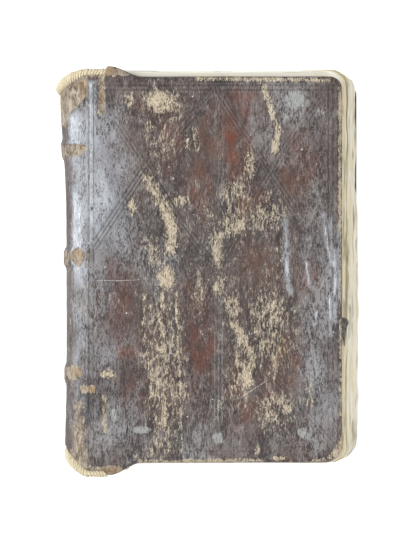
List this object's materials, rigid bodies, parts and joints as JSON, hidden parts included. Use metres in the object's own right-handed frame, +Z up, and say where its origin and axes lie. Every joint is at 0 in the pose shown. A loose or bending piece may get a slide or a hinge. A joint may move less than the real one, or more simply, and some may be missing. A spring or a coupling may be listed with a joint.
{
  "type": "manuscript book",
  "caption": "Thick sewn book in worn, blind-tooled leather over wooden boards, with raised bands, sewn endbands and covers that open.",
  "frame": {"origin": "below the middle of the book, on the plane of the back cover's outer face", "axes": "+X from the spine to the fore-edge, +Y from the tail to the head, +Z up through the closed book to the front cover"},
  "size_m": [0.1561, 0.2118, 0.0547],
  "materials": {
    "cover_leather": "worn, waxed calf or goatskin with a satin sheen",
    "board_wood": "plain sawn",
    "leaf_paper": "aged, matt",
    "pastedown_paper": "aged, matt",
    "support_thong": "tawed skin",
    "lining_cloth": "plain weave",
    "endband_core": "twisted cord",
    "endband_thread": "soiled linen thread"
  },
  "bodies": {
    "back_cover": {"back_board": "board_wood", "back_cover_leather": "cover_leather", "back_pastedown": "pastedown_paper", "back_support_slips": "support_thong", "back_endband_cores": "endband_core", "back_endband_threads": "endband_thread"},
    "book_block": {"text_block": "leaf_paper", "spine_leather": "cover_leather", "spine_lining": "lining_cloth", "upper_sewing_support": "support_thong", "middle_sewing_support": "support_thong", "lower_sewing_support": "support_thong", "head_endband_core": "endband_core", "head_endband_thread": "endband_thread", "tail_endband_core": "endband_core", "tail_endband_thread": "endband_thread"},
    "front_cover": {"front_board": "board_wood", "front_cover_leather": "cover_leather", "front_pastedown": "pastedown_paper", "front_support_slips": "support_thong", "front_endband_cores": "endband_core", "front_endband_threads": "endband_thread"}
  },
  "joints": [
    {"name": "back_cover_hinge", "type": "hinge", "parent": "back_cover", "child": "book_block", "pos_m": [-0.0535, 0, 0], "axis": [0, -1, 0], "range_deg": [0, 170]},
    {"name": "front_cover_hinge", "type": "hinge", "parent": "book_block", "child": "front_cover", "pos_m": [-0.064, 0, 0.0547], "axis": [0, -1, 0], "range_deg": [0, 170]}
  ]
}
